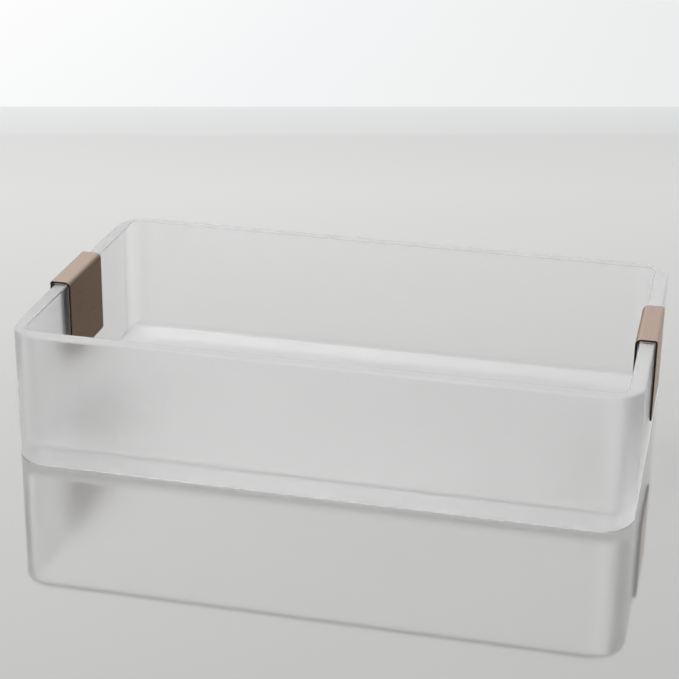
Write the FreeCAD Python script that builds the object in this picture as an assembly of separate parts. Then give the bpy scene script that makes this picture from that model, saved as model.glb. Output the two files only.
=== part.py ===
import FreeCAD, Part
import math
import os

# Catchall tray for a desk: an open, thick-walled moulded tray with a folded metal clip over the rim of
# each short side. Each clip is lined with three soft strips and pulls straight up off the wall.
# Millimetres. The origin is the centre of the underside, +X runs along the long side to the right,
# +Y to the back and +Z up.

# Tray body
tray_length = 230.0           # outside, along X, at the rim
tray_depth = 136.0            # outside, along Y, at the rim
rim_height = 51.5             # underside to the top of the rim
wall_thickness = 5.5          # at the rim
floor_thickness = 4.5
outer_corner_radius = 13.8    # upright outside corners
inner_corner_radius = 4.0     # upright inside corners, at the rim
outer_draft = 0.1             # how far each outside wall draws in from the rim to the base
cavity_draft = 0.2            # how far each inside wall draws in from the rim to the floor
floor_fillet = 2.5            # round between the floor and the inside walls
rim_outer_round = 0.9         # polished outside edge of the rim
rim_inner_round = 0.4         # inside edge of the rim
base_edge_round = 0.7         # outside edge of the underside

# Handle clip, a strip of sheet metal with two folds
sheet_thickness = 0.8
clip_length = 34.5            # along the wall
clip_drop = 32.1              # top of the clip to the ends of its legs
inner_bend_radius = 1.5       # inside radius of the fold over the tray's inside
outer_bend_radius = 0.3       # inside radius of the fold over the tray's outside
leg_corner_round = 0.9        # lower corners of each leg

# Soft strips between the clip and the wall
rim_pad_thickness = 0.8
inner_pad_thickness = 0.4
outer_pad_thickness = 0.3
pad_end_setback = 0.3         # how far each strip stops short of the clip's cut ends
pad_bend_margin = 0.3         # free space between a strip and the start of a fold
pad_leg_margin = 1.0          # how far the leg strips stop short of the legs' lower ends

# Clearances between the strips and the wall, because the clips pull off
rim_clearance = 0.1
wall_clearance = 0.15

# Sizes that follow
half_length = tray_length / 2
half_depth = tray_depth / 2
mouth_half_length = half_length - wall_thickness
mouth_half_depth = half_depth - wall_thickness
cavity_height = rim_height - floor_thickness
half_clip = clip_length / 2
clip_top = rim_height + rim_clearance + rim_pad_thickness + sheet_thickness
leg_end = clip_top - clip_drop

# Faces of the right-hand clip, as distances from the tray's middle plane. The inside wall leans in
# towards the floor, so the inner strip is set by the wall at the height where the leg ends.
lean_at_leg_end = cavity_draft * (rim_height - leg_end) / cavity_height
inner_pad_wall_side = mouth_half_length - lean_at_leg_end - wall_clearance
inner_leg_lining_side = inner_pad_wall_side - inner_pad_thickness
inner_leg_face = inner_leg_lining_side - sheet_thickness
outer_pad_wall_side = half_length + wall_clearance
outer_leg_lining_side = outer_pad_wall_side + outer_pad_thickness
outer_leg_face = outer_leg_lining_side + sheet_thickness

same_place = 0.001            # two points nearer than this are one


def line(start, end):
    return Part.LineSegment(start, end).toShape()


def rounded_rectangle(half_x, half_y, radius, height):
    # A closed wire in a level plane: a quarter arc round each corner, joined by straight sides.
    corner_arcs = []
    for quadrant in range(4):
        sign_x = 1 if quadrant in (0, 3) else -1
        sign_y = 1 if quadrant in (0, 1) else -1
        centre_x = sign_x * (half_x - radius)
        centre_y = sign_y * (half_y - radius)
        points = []
        for turn in (0, 45, 90):
            angle = math.radians(90 * quadrant + turn)
            x = centre_x + radius * math.cos(angle)
            y = centre_y + radius * math.sin(angle)
            points.append(FreeCAD.Vector(x, y, height))
        corner_arcs.append(points)
    edges = []
    for quadrant, points in enumerate(corner_arcs):
        next_start = corner_arcs[(quadrant + 1) % 4][0]
        edges.append(Part.Arc(*points).toShape())
        edges.append(line(points[2], next_start))
    return Part.Wire(edges)


def drafted_block(half_x, half_y, radius, draft, bottom, top):
    # A solid rounded block whose four sides all lean in by the draft from the top to the bottom.
    top_wire = rounded_rectangle(half_x, half_y, radius, top)
    bottom_wire = rounded_rectangle(half_x - draft, half_y - draft, radius - draft, bottom)
    return Part.makeLoft([bottom_wire, top_wire], True, True)


def level_edges(solid, height):
    # The edges that lie wholly in one level plane.
    found = []
    for edge in solid.Edges:
        box = edge.BoundBox
        if abs(box.ZMin - height) < same_place and abs(box.ZMax - height) < same_place:
            found.append(edge)
    return found


def mouth_edges(shell):
    # The edges of the rim's inside outline, which reach no further out than the cavity's mouth.
    found = []
    for edge in level_edges(shell, rim_height):
        box = edge.BoundBox
        reach_x = max(abs(box.XMin), abs(box.XMax))
        reach_y = max(abs(box.YMin), abs(box.YMax))
        if reach_x < mouth_half_length + same_place and reach_y < mouth_half_depth + same_place:
            found.append(edge)
    return found


def make_cavity():
    # The space inside the tray, with the round that it leaves all along the floor's edge.
    block = drafted_block(
        mouth_half_length, mouth_half_depth, inner_corner_radius, cavity_draft, floor_thickness, rim_height)
    return block.makeFillet(floor_fillet, level_edges(block, floor_thickness))


def make_tray_body():
    # The outside block gets its edge rounds, then the cavity is taken out of it, and last the mouth's
    # edge is broken. The inside corners are much tighter than the outside ones, so the wall is
    # thickest at the corners.
    block = drafted_block(half_length, half_depth, outer_corner_radius, outer_draft, 0, rim_height)
    block = block.makeFillet(base_edge_round, level_edges(block, 0))
    block = block.makeFillet(rim_outer_round, level_edges(block, rim_height))
    shell = block.cut(make_cavity())
    return shell.makeFillet(rim_inner_round, mouth_edges(shell))


def quarter_bend(centre_x, centre_z, radius, start_degrees, end_degrees):
    # A quarter arc in the XZ plane, and its two end points.
    points = []
    for degrees in (start_degrees, (start_degrees + end_degrees) / 2, end_degrees):
        angle = math.radians(degrees)
        x = centre_x + radius * math.cos(angle)
        z = centre_z + radius * math.sin(angle)
        points.append(FreeCAD.Vector(x, 0, z))
    return Part.Arc(*points).toShape(), points[0], points[2]


def clip_profile():
    # The folded sheet seen from its cut end: an inverted U. Both sides of a fold share one centre, and
    # their radii differ by the sheet's thickness.
    lining_top = clip_top - sheet_thickness
    inner_x = inner_leg_lining_side + inner_bend_radius
    inner_z = lining_top - inner_bend_radius
    outer_x = outer_leg_lining_side - outer_bend_radius
    outer_z = lining_top - outer_bend_radius
    inner_skin, skin_a, skin_b = quarter_bend(inner_x, inner_z, inner_bend_radius + sheet_thickness, 180, 90)
    outer_skin, skin_c, skin_d = quarter_bend(outer_x, outer_z, outer_bend_radius + sheet_thickness, 90, 0)
    outer_lining, lining_a, lining_b = quarter_bend(outer_x, outer_z, outer_bend_radius, 0, 90)
    inner_lining, lining_c, lining_d = quarter_bend(inner_x, inner_z, inner_bend_radius, 90, 180)
    inner_foot = FreeCAD.Vector(inner_leg_face, 0, leg_end)
    inner_lining_foot = FreeCAD.Vector(inner_leg_lining_side, 0, leg_end)
    outer_lining_foot = FreeCAD.Vector(outer_leg_lining_side, 0, leg_end)
    outer_foot = FreeCAD.Vector(outer_leg_face, 0, leg_end)
    return Part.Wire([
        line(inner_foot, skin_a), inner_skin,
        line(skin_b, skin_c), outer_skin,
        line(skin_d, outer_foot), line(outer_foot, outer_lining_foot),
        line(outer_lining_foot, lining_a), outer_lining,
        line(lining_b, lining_c), inner_lining,
        line(lining_d, inner_lining_foot), line(inner_lining_foot, inner_foot)])


def leg_corner_edges(clip):
    # The short edges through the sheet at the lower corners of both legs.
    found = []
    for edge in level_edges(clip, leg_end):
        box = edge.BoundBox
        if box.YLength < same_place and abs(box.XLength - sheet_thickness) < same_place:
            found.append(edge)
    return found


def make_handle_clip():
    # The profile drawn out along the wall, centred on the short side, with the legs' corners rounded.
    face = Part.Face(clip_profile())
    face.translate(FreeCAD.Vector(0, -half_clip, 0))
    clip = face.extrude(FreeCAD.Vector(0, clip_length, 0))
    return clip.makeFillet(leg_corner_round, leg_corner_edges(clip))


def make_strip(low_x, high_x, low_z, high_z):
    # A lining strip as long as the clip, less a setback at each end.
    half_strip = half_clip - pad_end_setback
    corner = FreeCAD.Vector(low_x, -half_strip, low_z)
    return Part.makeBox(high_x - low_x, 2 * half_strip, high_z - low_z, corner)


def make_rim_pad():
    # Lies under the clip's top, between the two folds, and carries the clip on the rim.
    low_x = inner_leg_lining_side + inner_bend_radius + pad_bend_margin
    high_x = outer_leg_lining_side - outer_bend_radius - pad_bend_margin
    low_z = rim_height + rim_clearance
    return make_strip(low_x, high_x, low_z, low_z + rim_pad_thickness)


def make_leg_pad(low_x, high_x, bend_radius):
    # Runs down a leg from just under its fold to just above its lower end.
    high_z = clip_top - sheet_thickness - bend_radius - pad_bend_margin
    return make_strip(low_x, high_x, leg_end + pad_leg_margin, high_z)


def make_inner_grip_pad():
    return make_leg_pad(inner_leg_lining_side, inner_pad_wall_side, inner_bend_radius)


def make_outer_grip_pad():
    return make_leg_pad(outer_pad_wall_side, outer_leg_lining_side, outer_bend_radius)


def to_left_side(shape):
    # The left-hand clip is the right-hand one mirrored in the tray's middle plane.
    return shape.mirror(FreeCAD.Vector(0, 0, 0), FreeCAD.Vector(1, 0, 0))


def save(shape, node):
    # Each node is one solid.
    solid = shape.Solids[0]
    print(node, "solids", len(shape.Solids), "valid", solid.isValid(), "volume", round(solid.Volume, 1))
    solid.exportStep("parts/" + node + ".step")


os.makedirs("parts", exist_ok=True)
save(make_tray_body(), "tray_body")
clip_pieces = {
    "handle_clip": make_handle_clip(),
    "rim_pad": make_rim_pad(),
    "inner_grip_pad": make_inner_grip_pad(),
    "outer_grip_pad": make_outer_grip_pad(),
}
for piece, right_shape in clip_pieces.items():
    save(right_shape, "right_" + piece)
    save(to_left_side(right_shape), "left_" + piece)
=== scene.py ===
# %% [markdown]
# # A frosted catchall tray, dressed for the camera
# The object is a thick-walled tray of frosted clear plastic with a folded metal clip over each short
# side. The engineering model holds its sizes and what moves. This lesson gives it its looks: smooth
# surfaces worked out with numpy, and one procedural material for each real finish.

import math

import bpy
import numpy as np
from mathutils import Matrix, Vector


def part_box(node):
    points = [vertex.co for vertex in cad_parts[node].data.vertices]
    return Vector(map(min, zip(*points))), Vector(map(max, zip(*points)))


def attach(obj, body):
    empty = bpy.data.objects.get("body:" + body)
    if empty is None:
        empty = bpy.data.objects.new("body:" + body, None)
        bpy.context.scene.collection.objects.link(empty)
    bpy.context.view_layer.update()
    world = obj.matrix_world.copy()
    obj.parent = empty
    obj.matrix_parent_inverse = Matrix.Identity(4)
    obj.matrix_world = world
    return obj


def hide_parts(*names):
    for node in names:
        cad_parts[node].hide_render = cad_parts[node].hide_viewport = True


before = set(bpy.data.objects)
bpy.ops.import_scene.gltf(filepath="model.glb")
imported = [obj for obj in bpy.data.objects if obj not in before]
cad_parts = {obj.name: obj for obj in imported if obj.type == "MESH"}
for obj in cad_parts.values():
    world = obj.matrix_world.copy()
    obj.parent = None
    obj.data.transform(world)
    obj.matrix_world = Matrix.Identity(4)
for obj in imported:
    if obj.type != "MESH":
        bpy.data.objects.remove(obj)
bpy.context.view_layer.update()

# %% [markdown]
# ## Two small helpers
# A mesh that numpy has worked out is an array of points and a list of faces. Putting it in with one
# call is quick and keeps the shape's formula in one place. Every piece here has small rounds between
# large plain faces, so each gets a Weighted Normal modifier: it lets the large faces keep their own
# direction, and the whole bend of the light falls on the rounds, as on a real moulding.

# %% Put a mesh into the scene
MM = 0.001


def add_piece(name, points, faces, materials, body, replaced_node, face_materials=None):
    """Makes a smooth-shaded piece from points in metres and faces, riding on a body of the frame."""
    mesh = bpy.data.meshes.new(name)
    mesh.from_pydata([tuple(p) for p in points.tolist()], [], faces)
    for material in materials:
        mesh.materials.append(material)
    if face_materials is not None:
        mesh.polygons.foreach_set("material_index", face_materials)
    mesh.shade_smooth()
    mesh.update()
    piece = bpy.data.objects.new(name, mesh)
    bpy.context.scene.collection.objects.link(piece)
    weighted = piece.modifiers.new("weighted normals", "WEIGHTED_NORMAL")
    weighted.keep_sharp = True
    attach(piece, body)
    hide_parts(replaced_node)
    print(name, "faces:", len(mesh.polygons))
    return piece


def outward(points, faces):
    """
    The faces, all turned over if they face inwards. Four-sided faces are enough to tell: cut into two
    triangles each, they make tetrahedra with the middle of the points, whose volumes keep their sign.
    """
    quads = np.array([face for face in faces if len(face) == 4])
    corner = [points[quads[:, i]] - points.mean(0) for i in range(4)]
    volume = sum(np.sum(corner[0] * np.cross(corner[i], corner[i + 1])) for i in (1, 2)) / 6
    return faces if volume > 0 else [face[::-1] for face in faces]


def ring_faces(ring_count, ring_size):
    """Quads between neighbouring closed rings of points, and one flat face on the first and last ring."""
    ring, spot = np.meshgrid(np.arange(ring_count - 1), np.arange(ring_size), indexing="ij")
    after = (spot + 1) % ring_size
    corners = [ring * ring_size + spot, ring * ring_size + after,
               (ring + 1) * ring_size + after, (ring + 1) * ring_size + spot]
    quads = np.stack(corners, -1).reshape(-1, 4).tolist()
    first = list(range(ring_size))[::-1]
    last = list(range((ring_count - 1) * ring_size, ring_count * ring_size))
    return [first] + quads + [last]


# %% [markdown]
# ## Colours and nodes
# Colours are picked as sRGB hex codes, the way they look on a screen, but a shader works with linear
# light, so one function turns the one into the other. A second one adds a node with its settings.

# %% Colour and node helpers
def linear(hex_code):
    """An sRGB hex colour as linear red, green, blue and an alpha of 1."""
    srgb = np.array([int(hex_code[i:i + 2], 16) for i in (1, 3, 5)]) / 255
    light = np.where(srgb <= 0.04045, srgb / 12.92, ((srgb + 0.055) / 1.055) ** 2.4)
    return (*light.tolist(), 1.0)


def add_node(tree, kind, settings=None, **links):
    """A node with its settings, and its inputs set or linked. Input names have _ for a space."""
    node = tree.nodes.new(kind)
    for name, value in (settings or {}).items():
        setattr(node, name, value)
    for name, value in links.items():
        spot = int(name[1:]) if name[1:].isdigit() and name[0] == "i" else name.replace("_", " ")
        if isinstance(value, bpy.types.NodeSocket):
            tree.links.new(value, node.inputs[spot])
        else:
            node.inputs[spot].default_value = value
    return node


def set_ramp(node, stops):
    """Gives a colour ramp its stops, each a position and a hex colour."""
    elements = node.color_ramp.elements
    while len(elements) < len(stops):
        elements.new(0.5)
    for element, (position, colour) in zip(elements, stops):
        element.position = position
        element.color = linear(colour)


def new_material(name):
    """An empty material, its node tree and the input that its surface shader goes into."""
    material = bpy.data.materials.new(name)
    material.use_nodes = True
    tree = material.node_tree
    tree.nodes.clear()
    output = tree.nodes.new("ShaderNodeOutputMaterial")
    return material, tree, output.inputs["Surface"]


# %% [markdown]
# ## Etched and polished plastic
# The tray is clear acrylic. Its mould was etched, all but the sides of the core, which were polished
# so that the moulding slips off them: the inside walls are clear and mirror what is near. The fine
# pits of the etch scatter the light, so that close things show through and further ones blur away.
# They also throw a little light straight back, which is the share that isn't transmitted. On the rim
# they lie closer, so it looks the palest, and on the floor they are coarser, so it blurs the most.
# Each finish is a Principled shader that bends what is seen through it. Lamps reach the inside of a
# real tray almost unhindered, but a path tracer seldom finds its way through a rough wall to a lamp,
# so for shadow rays alone the wall is a clear film.

# %% Etched and polished plastic materials
PLASTIC_IOR = 1.49
CLOUD_SIZE = 18 * MM
FLOW_LENGTH = 30 * MM
FLOW_HEIGHT = 0.3 * MM
FLOW_STRENGTH = 0.03
FROST_GRAIN = 0.5 * MM       # real etch pits are about 0.05 mm, drawn coarser so that they show
FROST_DEPTH = 0.05 * MM


def make_acrylic(name, smooth, rough, pit_strength, transmitted):
    """
    Roughness in clouds, between smooth and rough. Its bumps are faint waves that the flowing plastic
    left while it cooled, and the fine grain of the etch.
    """
    material, tree, surface = new_material(name)
    place = add_node(tree, "ShaderNodeTexCoord").outputs["Object"]
    clouds = add_node(tree, "ShaderNodeTexNoise", Vector=place, Scale=1 / CLOUD_SIZE, Detail=3.0)
    roughness = add_node(
        tree, "ShaderNodeMapRange", Value=clouds.outputs["Fac"], To_Min=smooth, To_Max=rough)
    waves = add_node(tree, "ShaderNodeTexNoise", Vector=place, Scale=1 / FLOW_LENGTH, Detail=1.0)
    flow = add_node(
        tree, "ShaderNodeBump", Height=waves.outputs["Fac"], Strength=FLOW_STRENGTH,
        Distance=FLOW_HEIGHT)
    grain = add_node(tree, "ShaderNodeTexNoise", Vector=place, Scale=1 / FROST_GRAIN, Detail=2.0)
    bump = add_node(
        tree, "ShaderNodeBump", Height=grain.outputs["Fac"], Normal=flow.outputs["Normal"],
        Strength=pit_strength, Distance=FROST_DEPTH)
    plastic = add_node(
        tree, "ShaderNodeBsdfPrincipled", Base_Color=linear("#ffffff"), IOR=PLASTIC_IOR,
        Roughness=roughness.outputs["Result"], Transmission_Weight=transmitted,
        Normal=bump.outputs["Normal"])
    film = add_node(tree, "ShaderNodeBsdfTransparent", Color=linear("#ffffff"))
    ray = add_node(tree, "ShaderNodeLightPath")
    look = add_node(
        tree, "ShaderNodeMixShader", i0=ray.outputs["Is Shadow Ray"],
        i1=plastic.outputs["BSDF"], i2=film.outputs["BSDF"])
    tree.links.new(look.outputs["Shader"], surface)
    return material


etched_plastic = make_acrylic("etched clear acrylic", 0.34, 0.4, 0.1, 0.97)
etched_rim = make_acrylic("closely etched clear acrylic", 0.48, 0.56, 0.1, 0.66)
etched_floor = make_acrylic("coarsely etched clear acrylic", 0.54, 0.62, 0.1, 0.97)
polished_plastic = make_acrylic("polished clear acrylic", 0.12, 0.16, 0.0, 1.0)

# %% [markdown]
# ## The tray body
# The real tray is one moulding. Its outside corners are generous and its inside corners are tight, so
# the wall is thickest at the corners, which is what makes the bright and dark stripes there. The
# surface is one profile carried round: from the middle of the underside out, up the wall, over the
# rim, down inside and back to the middle of the floor. At each step the outline is a rounded
# rectangle, so every point is given by two parameters, the step and the way round.

# %% Tray body surface
tray_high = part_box("tray_body")[1]
HALF_LENGTH = tray_high.x
HALF_DEPTH = tray_high.y
RIM_HEIGHT = tray_high.z
WALL = 5.5 * MM
FLOOR = 4.5 * MM
OUTER_CORNER = 13.8 * MM
INNER_CORNER = 4.0 * MM
OUTER_DRAFT = 0.1 * MM
CAVITY_DRAFT = 0.2 * MM
FLOOR_FILLET = 2.5 * MM
RIM_OUTER_ROUND = 0.9 * MM
RIM_INNER_ROUND = 0.4 * MM
BASE_ROUND = 0.7 * MM
CORNER_STEPS = 24
ROUND_STEPS = 16


def rounded_outline(half_x, half_y, radius, height):
    """
    A level ring of points: in each quadrant an arc of the given radius, from its start angle through
    90 degrees, about a centre that lies one radius inside both sides. The straight sides need no
    points of their own.
    """
    turn = np.linspace(0, np.pi / 2, CORNER_STEPS + 1)
    quadrant = np.arange(4)[:, None]
    angle = turn[None, :] + quadrant * np.pi / 2
    side_x = np.where((quadrant == 0) | (quadrant == 3), 1, -1)
    side_y = np.where(quadrant < 2, 1, -1)
    x = side_x * (half_x - radius) + radius * np.cos(angle)
    y = side_y * (half_y - radius) + radius * np.sin(angle)
    z = np.full_like(x, height)
    return np.stack([x, y, z], -1).reshape(-1, 3)


def tray_points():
    """
    Rings of the outside, then of the inside, each with its inset from the outside's outline at the rim.
    On a round, the inset changes by the radius times one minus the cosine or sine of the turn, and the
    height by the radius times one minus the other. The draft adds a share that grows towards the base.
    """
    turn = np.linspace(0, np.pi / 2, ROUND_STEPS + 1)
    off_sine, off_cosine = 1 - np.sin(turn), 1 - np.cos(turn)
    outside = [
        *zip(BASE_ROUND * off_sine, BASE_ROUND * off_cosine),
        *zip(RIM_OUTER_ROUND * off_cosine, RIM_HEIGHT - RIM_OUTER_ROUND * off_sine)]
    inside = [
        *zip(-RIM_INNER_ROUND * off_sine, RIM_HEIGHT - RIM_INNER_ROUND * off_cosine),
        *zip(FLOOR_FILLET * off_cosine, FLOOR + FLOOR_FILLET * off_sine)]
    rings = []
    for inset, height in outside:
        inset = inset + OUTER_DRAFT * (1 - height / RIM_HEIGHT)
        rings.append(rounded_outline(
            HALF_LENGTH - inset, HALF_DEPTH - inset, OUTER_CORNER - inset, height))
    for inset, height in inside:
        inset = inset + WALL + CAVITY_DRAFT * (RIM_HEIGHT - height) / (RIM_HEIGHT - FLOOR)
        rings.append(rounded_outline(
            HALF_LENGTH - inset, HALF_DEPTH - inset, INNER_CORNER + WALL - inset, height))
    return np.concatenate(rings), len(rings), len(rings[0])


points, ring_count, ring_size = tray_points()
# Bands of faces on the outside, the rim, the inside walls, and the floor with its round. The underside
# adds one large face to the first of these and the middle of the floor one to the last.
bands = np.array([ROUND_STEPS + 1, ROUND_STEPS + 1, ROUND_STEPS + 1, ROUND_STEPS])
finish = np.repeat([0, 1, 2, 3], bands * ring_size + (1, 0, 0, 1)).tolist()
tray = add_piece(
    "tray_body_moulding", points, ring_faces(ring_count, ring_size),
    [etched_plastic, etched_rim, polished_plastic, etched_floor], "tray", "tray_body", finish)

# %% [markdown]
# ## Satin mocha metal
# Each clip is a strip of aluminium, blasted with fine beads and then anodised in a rose-brown tint.
# The blasting gives a soft, even sheen with no mirror image in it, and rolling leaves faint streaks along
# the sheet. Where the strip was cut off, the edge is sheared and duller, and it is drawn much darker as
# painted shade.

# %% Satin metal and sheared edge
BLAST_GRAIN = 0.35 * MM      # real bead marks are about 0.08 mm, drawn coarser so that they show
BLAST_DEPTH = 0.03 * MM
STREAK_WIDTH = 0.6 * MM
STREAK_LENGTH = 12 * MM
INSIDE_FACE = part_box("right_handle_clip")[0].x
# The painted shade on the leg inside the tray fades out over this distance behind the inside face.
PAINTED_SHADE_FADE = 1.4 * MM       # how far behind the inside face the inside tint has faded out
NOISE_LOW, NOISE_HIGH = 0.6, 1.4     # the usual range of the two noises' sum


def make_satin_metal(name, tint, dark_tint, painted_shade_tint, smooth, rough):
    """
    A tinted metal whose colour and roughness change with the rolling streaks and the blast grain. The leg
    inside the tray is painted much darker than the top with a tint of its own, painted shade, which fades
    out over the fold.
    """
    material, tree, surface = new_material(name)
    place = add_node(tree, "ShaderNodeTexCoord").outputs["Object"]
    along = add_node(
        tree, "ShaderNodeMapping", Vector=place,
        Scale=(1 / STREAK_WIDTH, 1 / STREAK_LENGTH, 1 / STREAK_WIDTH))
    streaks = add_node(tree, "ShaderNodeTexNoise", Vector=along.outputs["Vector"], Scale=1.0, Detail=3.0)
    tint_mix = add_node(
        tree, "ShaderNodeMix", {"data_type": "RGBA"}, i0=streaks.outputs["Fac"],
        i6=linear(dark_tint), i7=linear(tint))
    # Painted shade: the leg inside the tray is drawn darker, fully at the inside face and fading out over
    # the fold.
    across = add_node(tree, "ShaderNodeSeparateXYZ", Vector=place).outputs["X"]
    reach = add_node(tree, "ShaderNodeMath", {"operation": "ABSOLUTE"}, i0=across)
    inside = add_node(
        tree, "ShaderNodeMapRange", {"interpolation_type": "SMOOTHSTEP"}, Value=reach.outputs["Value"],
        From_Min=INSIDE_FACE, From_Max=INSIDE_FACE + PAINTED_SHADE_FADE, To_Min=1.0, To_Max=0.0)
    colour = add_node(
        tree, "ShaderNodeMix", {"data_type": "RGBA"}, i0=inside.outputs["Result"],
        i6=tint_mix.outputs[2], i7=linear(painted_shade_tint))
    grain = add_node(tree, "ShaderNodeTexNoise", Vector=place, Scale=1 / BLAST_GRAIN, Detail=2.0)
    both = add_node(
        tree, "ShaderNodeMath", {"operation": "ADD"}, i0=streaks.outputs["Fac"], i1=grain.outputs["Fac"])
    roughness = add_node(
        tree, "ShaderNodeMapRange", Value=both.outputs["Value"], From_Min=NOISE_LOW, From_Max=NOISE_HIGH,
        To_Min=smooth, To_Max=rough)
    bump = add_node(
        tree, "ShaderNodeBump", Height=grain.outputs["Fac"], Strength=0.08, Distance=BLAST_DEPTH)
    metal = add_node(
        tree, "ShaderNodeBsdfPrincipled", Base_Color=colour.outputs[2], Metallic=1.0,
        Specular_Tint=linear("#eadfd6"), Roughness=roughness.outputs["Result"],
        Normal=bump.outputs["Normal"])
    tree.links.new(metal.outputs["BSDF"], surface)
    return material


# The third colour, #6d5c4e, is painted shade on the leg inside the tray.
satin_metal = make_satin_metal(
    "bead-blasted mocha anodised aluminium", "#c3b3a8", "#bcaca0", "#6d5c4e", 0.26, 0.31)
# The sheared edge's dark colours are painted shade; only its greater roughness is the real dullness of a
# cut.
sheared_edge_painted_shade = make_satin_metal("sheared aluminium edge in painted shade", "#4c4039", "#332a25", "#332a25", 0.45, 0.6)

# %% [markdown]
# ## The handle clips
# A sheet-metal part starts as a flat blank: here a long strip with rounded corners. Two folds make it
# an inverted U. The piece is worked out in the same way. Points run round the blank's outline, ring
# inside ring over the softly broken edge, and a fold function then carries each of them, given by its
# place along the strip and its depth in the sheet, onto the bent shape. Opposite points of the first
# and the last ring are joined straight across, which gives the two large skins.

# %% The fold
clip_low, clip_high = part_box("right_handle_clip")
SHEET = 0.8 * MM
INNER_BEND = 1.5 * MM + SHEET      # radius of the skin over the tray's inside
OUTER_BEND = 0.3 * MM + SHEET      # radius of the skin over the outside
LEG_CORNER = 0.9 * MM
EDGE_BREAK = 0.12 * MM
FOLD_STEPS = 12
LEG_STEPS = 9
BLANK_CORNER_STEPS = 8
EDGE_STEPS = 4
HALF_CLIP = clip_high.y
INNER_LEG = clip_high.z - clip_low.z - INNER_BEND
OUTER_LEG = clip_high.z - clip_low.z - OUTER_BEND
TOP_RUN = clip_high.x - clip_low.x - INNER_BEND - OUTER_BEND
INNER_ARC = INNER_BEND * math.pi / 2
OUTER_ARC = OUTER_BEND * math.pi / 2
STRIP_LENGTH = INNER_LEG + INNER_ARC + TOP_RUN + OUTER_ARC + OUTER_LEG
print("clip blank in mm:", round(1000 * STRIP_LENGTH, 1), "by", round(2000 * HALF_CLIP, 1))


def fold(along, depth):
    """
    The place in the XZ plane of a point of the strip. Up the inner leg, a quarter turn about the inner
    fold's centre, across the top, a quarter turn about the outer fold's centre and down the outer leg.
    Depth moves the point square to the skin, so on a fold it shortens the radius.
    """
    starts = np.cumsum([0, INNER_LEG, INNER_ARC, TOP_RUN, OUTER_ARC])
    inner_turn = np.clip((along - starts[1]) / INNER_BEND, 0, np.pi / 2)
    outer_turn = np.clip((along - starts[3]) / OUTER_BEND, 0, np.pi / 2)
    turn = inner_turn + outer_turn
    up = np.clip(along, 0, INNER_LEG)
    across = np.clip(along - starts[2], 0, TOP_RUN)
    down = np.clip(along - starts[4], 0, OUTER_LEG)
    x = clip_low.x + INNER_BEND * (1 - np.cos(inner_turn)) + across + OUTER_BEND * np.sin(outer_turn)
    z = clip_low.z + up + INNER_BEND * np.sin(inner_turn) - OUTER_BEND * (1 - np.cos(outer_turn)) - down
    return x + depth * np.cos(turn), z - depth * np.sin(turn)


# %% Clip surface
def strip_side():
    """The straight part of the blank's long side, as places along the strip, crowded at the folds."""
    starts = np.cumsum([INNER_LEG, INNER_ARC, TOP_RUN, OUTER_ARC])
    inner_leg = np.linspace(LEG_CORNER, starts[0], LEG_STEPS + 1)[:-1]
    inner_fold = np.linspace(starts[0], starts[1], FOLD_STEPS + 1)
    outer_fold = np.linspace(starts[2], starts[3], FOLD_STEPS + 1)
    outer_leg = np.linspace(starts[3], STRIP_LENGTH - LEG_CORNER, LEG_STEPS + 1)[1:]
    return np.concatenate([inner_leg, inner_fold, outer_fold, outer_leg])


def clip_ring(inset, depth, straight):
    """
    The blank's outline drawn in by the inset, at one depth in the sheet. A corner is a quarter arc
    about a centre one corner radius inside both edges.
    """
    turn = np.linspace(0, np.pi / 2, BLANK_CORNER_STEPS + 1)
    radius = LEG_CORNER - inset
    first_along = LEG_CORNER - radius * np.cos(turn)
    first_y = HALF_CLIP - LEG_CORNER + radius * np.sin(turn)
    along = np.concatenate([first_along[:-1], straight, (STRIP_LENGTH - first_along[:-1])[::-1]])
    y = np.concatenate([first_y[:-1], np.full(len(straight), HALF_CLIP - inset), first_y[:-1][::-1]])
    x, z = fold(along, depth)
    side = np.stack([x, y, z], -1)
    return np.concatenate([side, (side * (1, -1, 1))[::-1]])


def ladder_faces(ring_size, start, flip):
    """Quads that join each point of one half of a ring to its opposite point on the other half."""
    near = start + np.arange(ring_size // 2 - 1)
    far = start + ring_size - 1 - np.arange(ring_size // 2 - 1)
    quads = np.stack([near, near + 1, far - 1, far], -1)
    return (quads[:, ::-1] if flip else quads).tolist()


def clip_shape():
    """Rings from the skin, over the broken edge, across the cut edge and round to the lining side."""
    turn = np.linspace(0, np.pi / 2, EDGE_STEPS + 1)
    insets = np.concatenate([EDGE_BREAK * (1 - np.sin(turn)), EDGE_BREAK * (1 - np.cos(turn))])
    depths = np.concatenate([
        EDGE_BREAK * (1 - np.cos(turn)), SHEET - EDGE_BREAK * (1 - np.sin(turn))])
    straight = strip_side()
    rings = [clip_ring(inset, depth, straight) for inset, depth in zip(insets, depths)]
    size = len(rings[0])
    band = ring_faces(len(rings), size)[1:-1]
    skin = ladder_faces(size, 0, True)
    lining = ladder_faces(size, (len(rings) - 1) * size, False)
    # The cut edge and the broken edge on the lining side take the sheared finish, whose dark colour is
    # painted shade.
    finish = [0] * (EDGE_STEPS * size) + [1] * ((EDGE_STEPS + 1) * size) + [0] * (len(skin) + len(lining))
    return np.concatenate(rings), band + skin + lining, finish


clip_points, clip_faces, clip_finish = clip_shape()
for side, mirror in (("right", 1), ("left", -1)):
    points = clip_points * (mirror, 1, 1)
    clip = add_piece(
        side + "_folded_clip", points, outward(points, clip_faces), [satin_metal, sheared_edge_painted_shade],
        side + "_clip", side + "_handle_clip", clip_finish)

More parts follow.
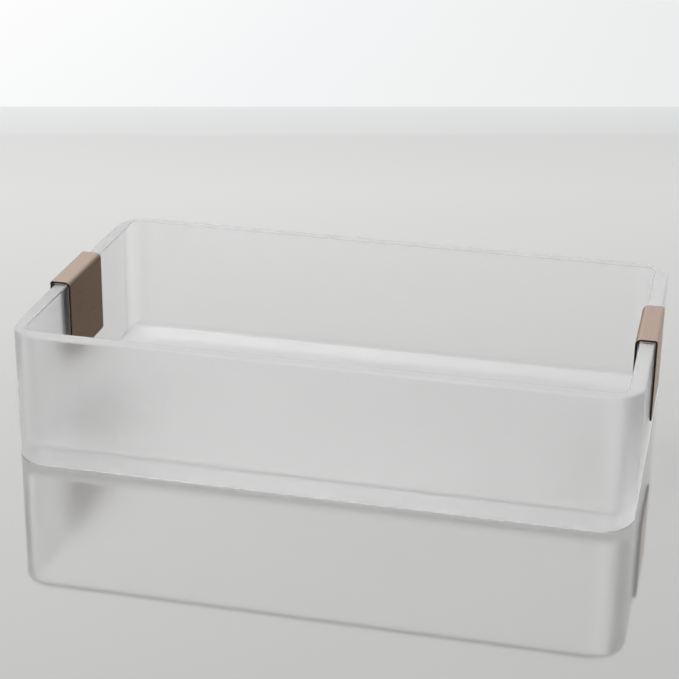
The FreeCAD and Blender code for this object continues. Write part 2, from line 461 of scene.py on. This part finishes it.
# %% [markdown]
# ## The lining strips
# Under each clip lie three strips of grey foam tape: on the rim and inside both legs. The clip squeezes the
# tape, so its edges swell out in the middle. By its depth the tape is drawn dark at both faces, painted
# shade where it meets the tray and the metal, with grey foam between and a paler band nearer the metal. The
# strip is a ring of points round its outline for each depth in the tape, and the depth is kept as an
# attribute for the material.

# %% Foam tape material
PORE_SIZE = 0.25 * MM
PORE_DEPTH = 0.08 * MM
PORE_SHADE, RIB_SHADE = 0.75, 1.1    # how light a pore's middle and the foam between pores are
# Tones by depth in the tape: the dark ends are painted shade where the tape meets the tray and the metal.
TAPE_TONES_WITH_PAINTED_SHADE = (              # from the face on the tray to the face on the metal
    (0.0, "#3c3838"), (0.12, "#4a4546"), (0.17, "#878184"), (0.5, "#928b8a"),
    (0.56, "#dbdad6"), (0.7, "#cfcfcb"), (0.76, "#737070"), (0.88, "#383334"))


def make_foam_tape():
    """Grey foam with fine open pores, drawn dark at both faces as painted shade, placed by the tape's
    depth.
    """
    material, tree, surface = new_material("grey polyethylene foam tape")
    place = add_node(tree, "ShaderNodeTexCoord").outputs["Object"]
    depth = add_node(tree, "ShaderNodeAttribute", {"attribute_name": "tape_depth"})
    tape_tones_with_shade = add_node(tree, "ShaderNodeValToRGB", Fac=depth.outputs["Fac"])
    set_ramp(tape_tones_with_shade, TAPE_TONES_WITH_PAINTED_SHADE)
    pores = add_node(tree, "ShaderNodeTexVoronoi", Vector=place, Scale=1 / PORE_SIZE)
    speckle = add_node(
        tree, "ShaderNodeMapRange", Value=pores.outputs["Distance"], From_Max=0.8,
        To_Min=PORE_SHADE, To_Max=RIB_SHADE)
    colour = add_node(
        tree, "ShaderNodeVectorMath", {"operation": "MULTIPLY"}, i0=tape_tones_with_shade.outputs["Color"],
        i1=speckle.outputs["Result"])
    bump = add_node(
        tree, "ShaderNodeBump", Height=pores.outputs["Distance"], Strength=0.4, Distance=PORE_DEPTH)
    foam = add_node(
        tree, "ShaderNodeBsdfPrincipled", Base_Color=colour.outputs["Vector"], Roughness=0.75,
        Normal=bump.outputs["Normal"])
    tree.links.new(foam.outputs["BSDF"], surface)
    return material


foam_tape = make_foam_tape()

# %% Tape strip surface
TAPE_SWELL = 0.1 * MM        # how far the squeezed edge swells out in the middle
TAPE_CORNER = 0.5 * MM
TAPE_STEPS = 12


def tape_strip(low, high, thin):
    """
    A closed strip that fills the box from low to high. At each depth the outline is a rounded
    rectangle, drawn in most at the two faces by the swell times one minus a half circle. Thin is the
    axis of the thickness, 0 for X and 2 for Z.
    """
    wide = 2 - thin
    middle = (low + high) / 2
    half_wide = (high[wide] - low[wide]) / 2
    half_long = (high[1] - low[1]) / 2
    rings = []
    shares = (1 - np.cos(np.linspace(0, np.pi, TAPE_STEPS + 1))) / 2
    for share in shares:
        inset = TAPE_SWELL * (1 - math.sqrt(max(0.0, 1 - (2 * share - 1) ** 2)))
        flat = rounded_outline(half_wide - inset, half_long - inset, TAPE_CORNER - inset, 0)
        ring = np.empty_like(flat)
        ring[:, wide] = middle[wide] + flat[:, 0]
        ring[:, 1] = middle[1] + flat[:, 1]
        ring[:, thin] = low[thin] + share * (high[thin] - low[thin])
        rings.append(ring)
    return np.concatenate(rings), len(rings), len(rings[0]), shares


TAPE_PLACES = (
    ("left_rim_pad", 2, False), ("right_rim_pad", 2, False),
    ("left_inner_grip_pad", 0, False), ("right_inner_grip_pad", 0, True),
    ("left_outer_grip_pad", 0, True), ("right_outer_grip_pad", 0, False))
for node, thin, metal_is_low in TAPE_PLACES:
    low, high = (np.array(corner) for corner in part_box(node))
    points, ring_count, ring_size, shares = tape_strip(low, high, thin)
    faces = outward(points, ring_faces(ring_count, ring_size))
    strip = add_piece(node + "_tape", points, faces, [foam_tape], node.split("_")[0] + "_clip", node)
    depth = strip.data.attributes.new("tape_depth", "FLOAT", "POINT")
    from_tray = 1 - shares if metal_is_low else shares
    depth.data.foreach_set("value", np.repeat(from_tray, ring_size).astype(np.float32))

# %% [markdown]
# ## The table and the light
# The tray stands on a polished table top that mirrors it. The room is pale all round, brightest to the
# left and above and weakest to the right and in front, so that each side of the tray gets a tone of
# its own. One soft box overhead adds to the light from the bright side.

# %% Table
TABLE_GAP = 0.1 * MM                 # keeps the table top just clear of the tray's underside
TABLE_TURN = math.radians(15.9)      # the table stands a little askew to the tray
TABLE_BACK = 452 * MM                # from under the tray's middle to the far edge
TABLE_FRONT = -300 * MM              # where the ramp of tones starts, nearest to the camera
TABLE_REACH = 3.0
# The table's tones grow darker towards the camera, painted falloff of the light, and have a cooler strip
# along the far edge.
TABLE_PAINTED_FALLOFF = (
    (0.0, "#bebebd"), (0.78, "#dededd"), (0.915, "#d8d8d7"), (0.925, "#dddfdf"), (0.985, "#e3e5e5"),
    (1.0, "#eaecec"))


def make_table_finish():
    """A mirror-like lacquer painted lighter towards the far edge and darker towards the camera, painted
    falloff of the light, with a cooler strip along the far edge.
    """
    material, tree, surface = new_material("polished table lacquer")
    place = add_node(tree, "ShaderNodeTexCoord").outputs["Object"]
    backwards = (-math.sin(TABLE_TURN), math.cos(TABLE_TURN), 0)
    far = add_node(tree, "ShaderNodeVectorMath", {"operation": "DOT_PRODUCT"}, i0=place, i1=backwards)
    share = add_node(
        tree, "ShaderNodeMapRange", Value=far.outputs["Value"], From_Min=TABLE_FRONT, From_Max=TABLE_BACK)
    tones = add_node(tree, "ShaderNodeValToRGB", Fac=share.outputs["Result"])
    set_ramp(tones, TABLE_PAINTED_FALLOFF)
    lacquer = add_node(
        tree, "ShaderNodeBsdfPrincipled", Base_Color=tones.outputs["Color"], Metallic=0.6, Roughness=0.05)
    tree.links.new(lacquer.outputs["BSDF"], surface)
    return material


def table_corner(along, backwards):
    """A corner of the table top, from its place along and across the turned table."""
    sine, cosine = math.sin(TABLE_TURN), math.cos(TABLE_TURN)
    return along * cosine - backwards * sine, along * sine + backwards * cosine, -TABLE_GAP


def add_stage(name, corners, material):
    """A flat stage piece from its corners."""
    mesh = bpy.data.meshes.new(name)
    mesh.from_pydata(corners, [], [tuple(range(len(corners)))])
    mesh.materials.append(material)
    piece = bpy.data.objects.new(name, mesh)
    bpy.context.scene.collection.objects.link(piece)


add_stage("table", [
    table_corner(-TABLE_REACH, -TABLE_REACH), table_corner(TABLE_REACH, -TABLE_REACH),
    table_corner(TABLE_REACH, TABLE_BACK), table_corner(-TABLE_REACH, TABLE_BACK)], make_table_finish())

# %% Studio floor under and behind the table
FLOOR_LEVEL = -0.5
FLOOR_NEAR, FLOOR_FAR = -5.0, 9.0
FLOOR_REACH = 5.0
# The backdrop's tones are painted falloff of the light, darker towards the right.
FALLOFF_LEFT, FALLOFF_RIGHT = -1.3, 0.1      # between these the backdrop gets darker
FLOOR_PAINTED_FALLOFF = ((0.0, "#fdfdfd"), (0.5, "#f3f4f5"), (1.0, "#ebedec"))


def make_floor_paint():
    """
    Matt white paint. What the camera sees of it, straight, mirrored or through the plastic, is a plain
    backdrop tone, painted a little darker towards the right as painted shade of the light's falloff. It
    lights the object as paint.
    """
    material, tree, surface = new_material("matt white studio paint")
    place = add_node(tree, "ShaderNodeTexCoord").outputs["Object"]
    across = add_node(tree, "ShaderNodeSeparateXYZ", Vector=place).outputs["X"]
    share = add_node(tree, "ShaderNodeMapRange", Value=across, From_Min=FALLOFF_LEFT, From_Max=FALLOFF_RIGHT)
    tones = add_node(tree, "ShaderNodeValToRGB", Fac=share.outputs["Result"])
    set_ramp(tones, FLOOR_PAINTED_FALLOFF)
    paint = add_node(tree, "ShaderNodeBsdfDiffuse", Color=linear("#e6e6e6"))
    seen_tone = add_node(tree, "ShaderNodeEmission", Color=tones.outputs["Color"], Strength=1.0)
    ray = add_node(tree, "ShaderNodeLightPath")
    straight_or_mirrored = add_node(
        tree, "ShaderNodeMath", {"operation": "MAXIMUM"}, i0=ray.outputs["Is Camera Ray"],
        i1=ray.outputs["Is Glossy Ray"])
    seen = add_node(
        tree, "ShaderNodeMath", {"operation": "MAXIMUM"}, i0=straight_or_mirrored.outputs["Value"],
        i1=ray.outputs["Is Transmission Ray"])
    look = add_node(
        tree, "ShaderNodeMixShader", i0=seen.outputs["Value"], i1=paint.outputs["BSDF"],
        i2=seen_tone.outputs["Emission"])
    tree.links.new(look.outputs["Shader"], surface)
    return material


add_stage("studio floor", [
    (-FLOOR_REACH, FLOOR_NEAR, FLOOR_LEVEL), (FLOOR_REACH, FLOOR_NEAR, FLOOR_LEVEL),
    (FLOOR_REACH, FLOOR_FAR, FLOOR_LEVEL), (-FLOOR_REACH, FLOOR_FAR, FLOOR_LEVEL)], make_floor_paint())

# %% Room light
BRIGHT_SIDE = (-0.8, 0.3, 0.52)
DARKEST, BRIGHTEST = 0.68, 1.12
GROWS_FROM = -0.6            # the nearness at which the light begins to grow
BOX_PLACE = (-0.55, 0.4, 1.1)
BOX_SIZE = (0.5, 0.4)
BOX_POWER = 1.08


def make_room():
    """
    Light from a direction grows with the square of how near it lies to the bright side. Directions
    below the horizon count as level, so that the backdrop goes on below the table's far edge.
    """
    world = bpy.data.worlds.new("pale room")
    world.use_nodes = True
    tree = world.node_tree
    toward = add_node(tree, "ShaderNodeTexCoord").outputs["Generated"]
    mirrored = add_node(tree, "ShaderNodeVectorMath", {"operation": "MULTIPLY"}, i0=toward, i1=BRIGHT_SIDE)
    parts = add_node(tree, "ShaderNodeSeparateXYZ", Vector=mirrored.outputs["Vector"])
    level = add_node(
        tree, "ShaderNodeMath", {"operation": "ADD"}, i0=parts.outputs["X"], i1=parts.outputs["Y"])
    height = add_node(tree, "ShaderNodeMath", {"operation": "MAXIMUM"}, i0=parts.outputs["Z"], i1=0.0)
    nearness = add_node(
        tree, "ShaderNodeMath", {"operation": "ADD"}, i0=level.outputs["Value"], i1=height.outputs["Value"])
    share = add_node(
        tree, "ShaderNodeMapRange", Value=nearness.outputs["Value"], From_Min=GROWS_FROM, From_Max=1.0)
    square = add_node(
        tree, "ShaderNodeMath", {"operation": "MULTIPLY"}, i0=share.outputs["Result"],
        i1=share.outputs["Result"])
    light = add_node(
        tree, "ShaderNodeMapRange", Value=square.outputs["Value"], To_Min=DARKEST, To_Max=BRIGHTEST)
    background = tree.nodes["Background"]
    background.inputs["Color"].default_value = linear("#ffffff")
    tree.links.new(light.outputs["Result"], background.inputs["Strength"])
    bpy.context.scene.world = world


def soft_box(name, centre, aim, size, power):
    """A rectangular lamp at the centre that faces its aim."""
    light = bpy.data.lights.new(name, "AREA")
    light.shape = "RECTANGLE"
    light.size, light.size_y = size
    light.energy = power
    lamp = bpy.data.objects.new(name, light)
    bpy.context.scene.collection.objects.link(lamp)
    lamp.location = centre
    lamp.rotation_mode = "QUATERNION"
    lamp.rotation_quaternion = (Vector(aim) - Vector(centre)).to_track_quat("-Z", "Y")


make_room()
soft_box("soft box overhead", BOX_PLACE, (0, 0, 0), BOX_SIZE, BOX_POWER)

# %% [markdown]
# ## The camera
# The camera stands about 0.7 m away, a little to the right, and looks down at about 23 degrees.

# %% Camera
AZIMUTH = 12.74
ELEVATION = 22.74
ROLL = 0.87
LENS = 99.25                 # mm, on a sensor 36 mm wide
SENSOR_WIDTH = 36
EYE = Vector((0.14144, -0.64952, 0.31274))


def aim_camera():
    """Turns the camera by its azimuth and elevation, then by its roll about the line of sight."""
    azimuth, elevation, roll = (math.radians(v) for v in (AZIMUTH, ELEVATION, ROLL))
    level_run = math.cos(elevation)
    forward = Vector((
        -math.sin(azimuth) * level_run, math.cos(azimuth) * level_run, -math.sin(elevation)))
    level_right = Vector((math.cos(azimuth), math.sin(azimuth), 0))
    level_up = level_right.cross(forward)
    right = math.cos(roll) * level_right + math.sin(roll) * level_up
    up = -math.sin(roll) * level_right + math.cos(roll) * level_up
    camera = bpy.data.objects.new("camera", bpy.data.cameras.new("camera"))
    bpy.context.scene.collection.objects.link(camera)
    turn = Matrix((right, up, -forward)).transposed().to_4x4()
    camera.matrix_world = Matrix.Translation(EYE) @ turn
    camera.data.lens = LENS
    camera.data.sensor_width = SENSOR_WIDTH
    camera.data.clip_start = 0.01
    bpy.context.scene.camera = camera


aim_camera()
bpy.context.scene.view_settings.view_transform = "Standard"

# Light that is caught in the thick walls is reflected many times inside them before it gets out.
bpy.context.scene.cycles.max_bounces = 48
bpy.context.scene.cycles.diffuse_bounces = 16
bpy.context.scene.cycles.glossy_bounces = 32
bpy.context.scene.cycles.transmission_bounces = 32
bpy.context.scene.cycles.transparent_max_bounces = 16
